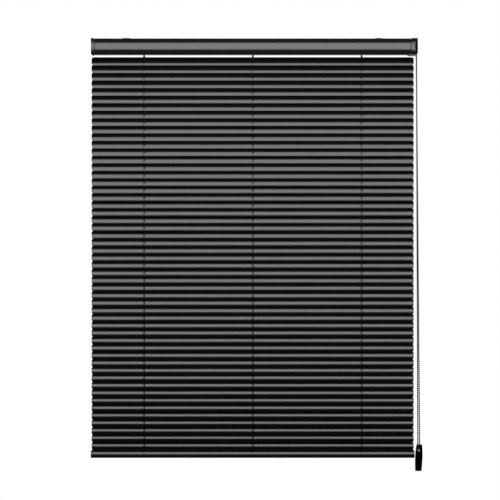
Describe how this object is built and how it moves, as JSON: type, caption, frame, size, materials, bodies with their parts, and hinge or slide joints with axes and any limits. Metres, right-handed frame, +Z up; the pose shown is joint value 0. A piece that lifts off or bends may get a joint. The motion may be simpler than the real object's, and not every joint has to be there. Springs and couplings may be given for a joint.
{
  "type": "venetian blind",
  "caption": "Venetian blind with narrow curved metal slats on three cord ladders, a bowed cassette head rail, a tilting bottom rail and one bead-chain loop with a hanging weight.",
  "frame": {"origin": "on the ceiling plane, midway between the two ceiling clips' screw holes, in line with the middle ladder", "axes": "+X along the head rail towards the chain, -Y towards the room, +Z up"},
  "size_m": [0.9468, 0.0456, 1.2342],
  "materials": {
    "slat_enamel": "stove-enamelled black, satin to semi-gloss",
    "rail_enamel": "enamelled black, satin",
    "cap_plastic": "moulded black, fine satin grain",
    "cradle_plastic": "moulded black and zinc-grey fittings",
    "shaft_steel": "bright drawn steel shaft with moulded drums",
    "braid": "braided polyester, matt",
    "bead_plastic": "moulded black beads, semi-matt",
    "weight_plastic": "polished black moulding"
  },
  "bodies": {
    "head": {"head_rail": "rail_enamel", "rail_end_caps": "cap_plastic", "cradles_and_ceiling_clips": "cradle_plastic", "ladders_and_cords": "braid"},
    "drive": {"drive_shaft": "shaft_steel"},
    "base": {"bottom_rail": "rail_enamel"},
    "chain": {"bead_chain": "bead_plastic", "chain_weight": "weight_plastic"},
    "slat_01_body": {"slat_01": "slat_enamel"},
    "slat_02_body": {"slat_02": "slat_enamel"},
    "slat_03_body": {"slat_03": "slat_enamel"},
    "slat_04_body": {"slat_04": "slat_enamel"},
    "slat_05_body": {"slat_05": "slat_enamel"},
    "slat_06_body": {"slat_06": "slat_enamel"},
    "slat_07_body": {"slat_07": "slat_enamel"},
    "slat_08_body": {"slat_08": "slat_enamel"},
    "slat_09_body": {"slat_09": "slat_enamel"},
    "slat_10_body": {"slat_10": "slat_enamel"},
    "slat_11_body": {"slat_11": "slat_enamel"},
    "slat_12_body": {"slat_12": "slat_enamel"},
    "slat_13_body": {"slat_13": "slat_enamel"},
    "slat_14_body": {"slat_14": "slat_enamel"},
    "slat_15_body": {"slat_15": "slat_enamel"},
    "slat_16_body": {"slat_16": "slat_enamel"},
    "slat_17_body": {"slat_17": "slat_enamel"},
    "slat_18_body": {"slat_18": "slat_enamel"},
    "slat_19_body": {"slat_19": "slat_enamel"},
    "slat_20_body": {"slat_20": "slat_enamel"},
    "slat_21_body": {"slat_21": "slat_enamel"},
    "slat_22_body": {"slat_22": "slat_enamel"},
    "slat_23_body": {"slat_23": "slat_enamel"},
    "slat_24_body": {"slat_24": "slat_enamel"},
    "slat_25_body": {"slat_25": "slat_enamel"},
    "slat_26_body": {"slat_26": "slat_enamel"},
    "slat_27_body": {"slat_27": "slat_enamel"},
    "slat_28_body": {"slat_28": "slat_enamel"},
    "slat_29_body": {"slat_29": "slat_enamel"},
    "slat_30_body": {"slat_30": "slat_enamel"},
    "slat_31_body": {"slat_31": "slat_enamel"},
    "slat_32_body": {"slat_32": "slat_enamel"},
    "slat_33_body": {"slat_33": "slat_enamel"},
    "slat_34_body": {"slat_34": "slat_enamel"},
    "slat_35_body": {"slat_35": "slat_enamel"},
    "slat_36_body": {"slat_36": "slat_enamel"},
    "slat_37_body": {"slat_37": "slat_enamel"},
    "slat_38_body": {"slat_38": "slat_enamel"},
    "slat_39_body": {"slat_39": "slat_enamel"},
    "slat_40_body": {"slat_40": "slat_enamel"},
    "slat_41_body": {"slat_41": "slat_enamel"},
    "slat_42_body": {"slat_42": "slat_enamel"},
    "slat_43_body": {"slat_43": "slat_enamel"},
    "slat_44_body": {"slat_44": "slat_enamel"},
    "slat_45_body": {"slat_45": "slat_enamel"},
    "slat_46_body": {"slat_46": "slat_enamel"},
    "slat_47_body": {"slat_47": "slat_enamel"},
    "slat_48_body": {"slat_48": "slat_enamel"},
    "slat_49_body": {"slat_49": "slat_enamel"},
    "slat_50_body": {"slat_50": "slat_enamel"},
    "slat_51_body": {"slat_51": "slat_enamel"},
    "slat_52_body": {"slat_52": "slat_enamel"}
  },
  "joints": [
    {"name": "drive_turn", "type": "hinge", "parent": "head", "child": "drive", "pos_m": [0, 0, -0.028], "axis": [1, 0, 0], "range_deg": [-140, 0], "deforming": ["ladders_and_cords"]},
    {"name": "slat_01_tilt", "type": "hinge", "parent": "head", "child": "slat_01_body", "pos_m": [0, 0, -0.0662], "axis": [1, 0, 0], "range_deg": [-140, 0]},
    {"name": "slat_02_tilt", "type": "hinge", "parent": "head", "child": "slat_02_body", "pos_m": [0, 0, -0.0877], "axis": [1, 0, 0], "range_deg": [-140, 0]},
    {"name": "slat_03_tilt", "type": "hinge", "parent": "head", "child": "slat_03_body", "pos_m": [0, 0, -0.1092], "axis": [1, 0, 0], "range_deg": [-140, 0]},
    {"name": "slat_04_tilt", "type": "hinge", "parent": "head", "child": "slat_04_body", "pos_m": [0, 0, -0.1307], "axis": [1, 0, 0], "range_deg": [-140, 0]},
    {"name": "slat_05_tilt", "type": "hinge", "parent": "head", "child": "slat_05_body", "pos_m": [0, 0, -0.1522], "axis": [1, 0, 0], "range_deg": [-140, 0]},
    {"name": "slat_06_tilt", "type": "hinge", "parent": "head", "child": "slat_06_body", "pos_m": [0, 0, -0.1737], "axis": [1, 0, 0], "range_deg": [-140, 0]},
    {"name": "slat_07_tilt", "type": "hinge", "parent": "head", "child": "slat_07_body", "pos_m": [0, 0, -0.1952], "axis": [1, 0, 0], "range_deg": [-140, 0]},
    {"name": "slat_08_tilt", "type": "hinge", "parent": "head", "child": "slat_08_body", "pos_m": [0, 0, -0.2167], "axis": [1, 0, 0], "range_deg": [-140, 0]},
    {"name": "slat_09_tilt", "type": "hinge", "parent": "head", "child": "slat_09_body", "pos_m": [0, 0, -0.2382], "axis": [1, 0, 0], "range_deg": [-140, 0]},
    {"name": "slat_10_tilt", "type": "hinge", "parent": "head", "child": "slat_10_body", "pos_m": [0, 0, -0.2597], "axis": [1, 0, 0], "range_deg": [-140, 0]},
    {"name": "slat_11_tilt", "type": "hinge", "parent": "head", "child": "slat_11_body", "pos_m": [0, 0, -0.2812], "axis": [1, 0, 0], "range_deg": [-140, 0]},
    {"name": "slat_12_tilt", "type": "hinge", "parent": "head", "child": "slat_12_body", "pos_m": [0, 0, -0.3027], "axis": [1, 0, 0], "range_deg": [-140, 0]},
    {"name": "slat_13_tilt", "type": "hinge", "parent": "head", "child": "slat_13_body", "pos_m": [0, 0, -0.3242], "axis": [1, 0, 0], "range_deg": [-140, 0]},
    {"name": "slat_14_tilt", "type": "hinge", "parent": "head", "child": "slat_14_body", "pos_m": [0, 0, -0.3457], "axis": [1, 0, 0], "range_deg": [-140, 0]},
    {"name": "slat_15_tilt", "type": "hinge", "parent": "head", "child": "slat_15_body", "pos_m": [0, 0, -0.3672], "axis": [1, 0, 0], "range_deg": [-140, 0]},
    {"name": "slat_16_tilt", "type": "hinge", "parent": "head", "child": "slat_16_body", "pos_m": [0, 0, -0.3887], "axis": [1, 0, 0], "range_deg": [-140, 0]},
    {"name": "slat_17_tilt", "type": "hinge", "parent": "head", "child": "slat_17_body", "pos_m": [0, 0, -0.4102], "axis": [1, 0, 0], "range_deg": [-140, 0]},
    {"name": "slat_18_tilt", "type": "hinge", "parent": "head", "child": "slat_18_body", "pos_m": [0, 0, -0.4317], "axis": [1, 0, 0], "range_deg": [-140, 0]},
    {"name": "slat_19_tilt", "type": "hinge", "parent": "head", "child": "slat_19_body", "pos_m": [0, 0, -0.4532], "axis": [1, 0, 0], "range_deg": [-140, 0]},
    {"name": "slat_20_tilt", "type": "hinge", "parent": "head", "child": "slat_20_body", "pos_m": [0, 0, -0.4747], "axis": [1, 0, 0], "range_deg": [-140, 0]},
    {"name": "slat_21_tilt", "type": "hinge", "parent": "head", "child": "slat_21_body", "pos_m": [0, 0, -0.4962], "axis": [1, 0, 0], "range_deg": [-140, 0]},
    {"name": "slat_22_tilt", "type": "hinge", "parent": "head", "child": "slat_22_body", "pos_m": [0, 0, -0.5177], "axis": [1, 0, 0], "range_deg": [-140, 0]},
    {"name": "slat_23_tilt", "type": "hinge", "parent": "head", "child": "slat_23_body", "pos_m": [0, 0, -0.5392], "axis": [1, 0, 0], "range_deg": [-140, 0]},
    {"name": "slat_24_tilt", "type": "hinge", "parent": "head", "child": "slat_24_body", "pos_m": [0, 0, -0.5607], "axis": [1, 0, 0], "range_deg": [-140, 0]},
    {"name": "slat_25_tilt", "type": "hinge", "parent": "head", "child": "slat_25_body", "pos_m": [0, 0, -0.5822], "axis": [1, 0, 0], "range_deg": [-140, 0]},
    {"name": "slat_26_tilt", "type": "hinge", "parent": "head", "child": "slat_26_body", "pos_m": [0, 0, -0.6037], "axis": [1, 0, 0], "range_deg": [-140, 0]},
    {"name": "slat_27_tilt", "type": "hinge", "parent": "head", "child": "slat_27_body", "pos_m": [0, 0, -0.6252], "axis": [1, 0, 0], "range_deg": [-140, 0]},
    {"name": "slat_28_tilt", "type": "hinge", "parent": "head", "child": "slat_28_body", "pos_m": [0, 0, -0.6467], "axis": [1, 0, 0], "range_deg": [-140, 0]},
    {"name": "slat_29_tilt", "type": "hinge", "parent": "head", "child": "slat_29_body", "pos_m": [0, 0, -0.6682], "axis": [1, 0, 0], "range_deg": [-140, 0]},
    {"name": "slat_30_tilt", "type": "hinge", "parent": "head", "child": "slat_30_body", "pos_m": [0, 0, -0.6897], "axis": [1, 0, 0], "range_deg": [-140, 0]},
    {"name": "slat_31_tilt", "type": "hinge", "parent": "head", "child": "slat_31_body", "pos_m": [0, 0, -0.7112], "axis": [1, 0, 0], "range_deg": [-140, 0]},
    {"name": "slat_32_tilt", "type": "hinge", "parent": "head", "child": "slat_32_body", "pos_m": [0, 0, -0.7327], "axis": [1, 0, 0], "range_deg": [-140, 0]},
    {"name": "slat_33_tilt", "type": "hinge", "parent": "head", "child": "slat_33_body", "pos_m": [0, 0, -0.7542], "axis": [1, 0, 0], "range_deg": [-140, 0]},
    {"name": "slat_34_tilt", "type": "hinge", "parent": "head", "child": "slat_34_body", "pos_m": [0, 0, -0.7757], "axis": [1, 0, 0], "range_deg": [-140, 0]},
    {"name": "slat_35_tilt", "type": "hinge", "parent": "head", "child": "slat_35_body", "pos_m": [0, 0, -0.7972], "axis": [1, 0, 0], "range_deg": [-140, 0]},
    {"name": "slat_36_tilt", "type": "hinge", "parent": "head", "child": "slat_36_body", "pos_m": [0, 0, -0.8187], "axis": [1, 0, 0], "range_deg": [-140, 0]},
    {"name": "slat_37_tilt", "type": "hinge", "parent": "head", "child": "slat_37_body", "pos_m": [0, 0, -0.8402], "axis": [1, 0, 0], "range_deg": [-140, 0]},
    {"name": "slat_38_tilt", "type": "hinge", "parent": "head", "child": "slat_38_body", "pos_m": [0, 0, -0.8617], "axis": [1, 0, 0], "range_deg": [-140, 0]},
    {"name": "slat_39_tilt", "type": "hinge", "parent": "head", "child": "slat_39_body", "pos_m": [0, 0, -0.8832], "axis": [1, 0, 0], "range_deg": [-140, 0]},
    {"name": "slat_40_tilt", "type": "hinge", "parent": "head", "child": "slat_40_body", "pos_m": [0, 0, -0.9047], "axis": [1, 0, 0], "range_deg": [-140, 0]},
    {"name": "slat_41_tilt", "type": "hinge", "parent": "head", "child": "slat_41_body", "pos_m": [0, 0, -0.9262], "axis": [1, 0, 0], "range_deg": [-140, 0]},
    {"name": "slat_42_tilt", "type": "hinge", "parent": "head", "child": "slat_42_body", "pos_m": [0, 0, -0.9477], "axis": [1, 0, 0], "range_deg": [-140, 0]},
    {"name": "slat_43_tilt", "type": "hinge", "parent": "head", "child": "slat_43_body", "pos_m": [0, 0, -0.9692], "axis": [1, 0, 0], "range_deg": [-140, 0]},
    {"name": "slat_44_tilt", "type": "hinge", "parent": "head", "child": "slat_44_body", "pos_m": [0, 0, -0.9907], "axis": [1, 0, 0], "range_deg": [-140, 0]},
    {"name": "slat_45_tilt", "type": "hinge", "parent": "head", "child": "slat_45_body", "pos_m": [0, 0, -1.0122], "axis": [1, 0, 0], "range_deg": [-140, 0]},
    {"name": "slat_46_tilt", "type": "hinge", "parent": "head", "child": "slat_46_body", "pos_m": [0, 0, -1.0337], "axis": [1, 0, 0], "range_deg": [-140, 0]},
    {"name": "slat_47_tilt", "type": "hinge", "parent": "head", "child": "slat_47_body", "pos_m": [0, 0, -1.0552], "axis": [1, 0, 0], "range_deg": [-140, 0]},
    {"name": "slat_48_tilt", "type": "hinge", "parent": "head", "child": "slat_48_body", "pos_m": [0, 0, -1.0767], "axis": [1, 0, 0], "range_deg": [-140, 0]},
    {"name": "slat_49_tilt", "type": "hinge", "parent": "head", "child": "slat_49_body", "pos_m": [0, 0, -1.0982], "axis": [1, 0, 0], "range_deg": [-140, 0]},
    {"name": "slat_50_tilt", "type": "hinge", "parent": "head", "child": "slat_50_body", "pos_m": [0, 0, -1.1197], "axis": [1, 0, 0], "range_deg": [-140, 0]},
    {"name": "slat_51_tilt", "type": "hinge", "parent": "head", "child": "slat_51_body", "pos_m": [0, 0, -1.1412], "axis": [1, 0, 0], "range_deg": [-140, 0]},
    {"name": "slat_52_tilt", "type": "hinge", "parent": "head", "child": "slat_52_body", "pos_m": [0, 0, -1.1627], "axis": [1, 0, 0], "range_deg": [-140, 0]},
    {"name": "base_tilt", "type": "hinge", "parent": "head", "child": "base", "pos_m": [0, 0, -1.1842], "axis": [1, 0, 0], "range_deg": [-140, 0]},
    {"name": "chain_swing", "type": "hinge", "parent": "head", "child": "chain", "pos_m": [0, 0, -0.0515], "axis": [1, 0, 0], "range_deg": [-15, 2]}
  ],
  "couplings": [
    {"joint": "slat_01_tilt", "follows": "drive_turn", "ratio": 1},
    {"joint": "slat_02_tilt", "follows": "drive_turn", "ratio": 1},
    {"joint": "slat_03_tilt", "follows": "drive_turn", "ratio": 1},
    {"joint": "slat_04_tilt", "follows": "drive_turn", "ratio": 1},
    {"joint": "slat_05_tilt", "follows": "drive_turn", "ratio": 1},
    {"joint": "slat_06_tilt", "follows": "drive_turn", "ratio": 1},
    {"joint": "slat_07_tilt", "follows": "drive_turn", "ratio": 1},
    {"joint": "slat_08_tilt", "follows": "drive_turn", "ratio": 1},
    {"joint": "slat_09_tilt", "follows": "drive_turn", "ratio": 1},
    {"joint": "slat_10_tilt", "follows": "drive_turn", "ratio": 1},
    {"joint": "slat_11_tilt", "follows": "drive_turn", "ratio": 1},
    {"joint": "slat_12_tilt", "follows": "drive_turn", "ratio": 1},
    {"joint": "slat_13_tilt", "follows": "drive_turn", "ratio": 1},
    {"joint": "slat_14_tilt", "follows": "drive_turn", "ratio": 1},
    {"joint": "slat_15_tilt", "follows": "drive_turn", "ratio": 1},
    {"joint": "slat_16_tilt", "follows": "drive_turn", "ratio": 1},
    {"joint": "slat_17_tilt", "follows": "drive_turn", "ratio": 1},
    {"joint": "slat_18_tilt", "follows": "drive_turn", "ratio": 1},
    {"joint": "slat_19_tilt", "follows": "drive_turn", "ratio": 1},
    {"joint": "slat_20_tilt", "follows": "drive_turn", "ratio": 1},
    {"joint": "slat_21_tilt", "follows": "drive_turn", "ratio": 1},
    {"joint": "slat_22_tilt", "follows": "drive_turn", "ratio": 1},
    {"joint": "slat_23_tilt", "follows": "drive_turn", "ratio": 1},
    {"joint": "slat_24_tilt", "follows": "drive_turn", "ratio": 1},
    {"joint": "slat_25_tilt", "follows": "drive_turn", "ratio": 1},
    {"joint": "slat_26_tilt", "follows": "drive_turn", "ratio": 1},
    {"joint": "slat_27_tilt", "follows": "drive_turn", "ratio": 1},
    {"joint": "slat_28_tilt", "follows": "drive_turn", "ratio": 1},
    {"joint": "slat_29_tilt", "follows": "drive_turn", "ratio": 1},
    {"joint": "slat_30_tilt", "follows": "drive_turn", "ratio": 1},
    {"joint": "slat_31_tilt", "follows": "drive_turn", "ratio": 1},
    {"joint": "slat_32_tilt", "follows": "drive_turn", "ratio": 1},
    {"joint": "slat_33_tilt", "follows": "drive_turn", "ratio": 1},
    {"joint": "slat_34_tilt", "follows": "drive_turn", "ratio": 1},
    {"joint": "slat_35_tilt", "follows": "drive_turn", "ratio": 1},
    {"joint": "slat_36_tilt", "follows": "drive_turn", "ratio": 1},
    {"joint": "slat_37_tilt", "follows": "drive_turn", "ratio": 1},
    {"joint": "slat_38_tilt", "follows": "drive_turn", "ratio": 1},
    {"joint": "slat_39_tilt", "follows": "drive_turn", "ratio": 1},
    {"joint": "slat_40_tilt", "follows": "drive_turn", "ratio": 1},
    {"joint": "slat_41_tilt", "follows": "drive_turn", "ratio": 1},
    {"joint": "slat_42_tilt", "follows": "drive_turn", "ratio": 1},
    {"joint": "slat_43_tilt", "follows": "drive_turn", "ratio": 1},
    {"joint": "slat_44_tilt", "follows": "drive_turn", "ratio": 1},
    {"joint": "slat_45_tilt", "follows": "drive_turn", "ratio": 1},
    {"joint": "slat_46_tilt", "follows": "drive_turn", "ratio": 1},
    {"joint": "slat_47_tilt", "follows": "drive_turn", "ratio": 1},
    {"joint": "slat_48_tilt", "follows": "drive_turn", "ratio": 1},
    {"joint": "slat_49_tilt", "follows": "drive_turn", "ratio": 1},
    {"joint": "slat_50_tilt", "follows": "drive_turn", "ratio": 1},
    {"joint": "slat_51_tilt", "follows": "drive_turn", "ratio": 1},
    {"joint": "slat_52_tilt", "follows": "drive_turn", "ratio": 1},
    {"joint": "base_tilt", "follows": "drive_turn", "ratio": 1}
  ]
}
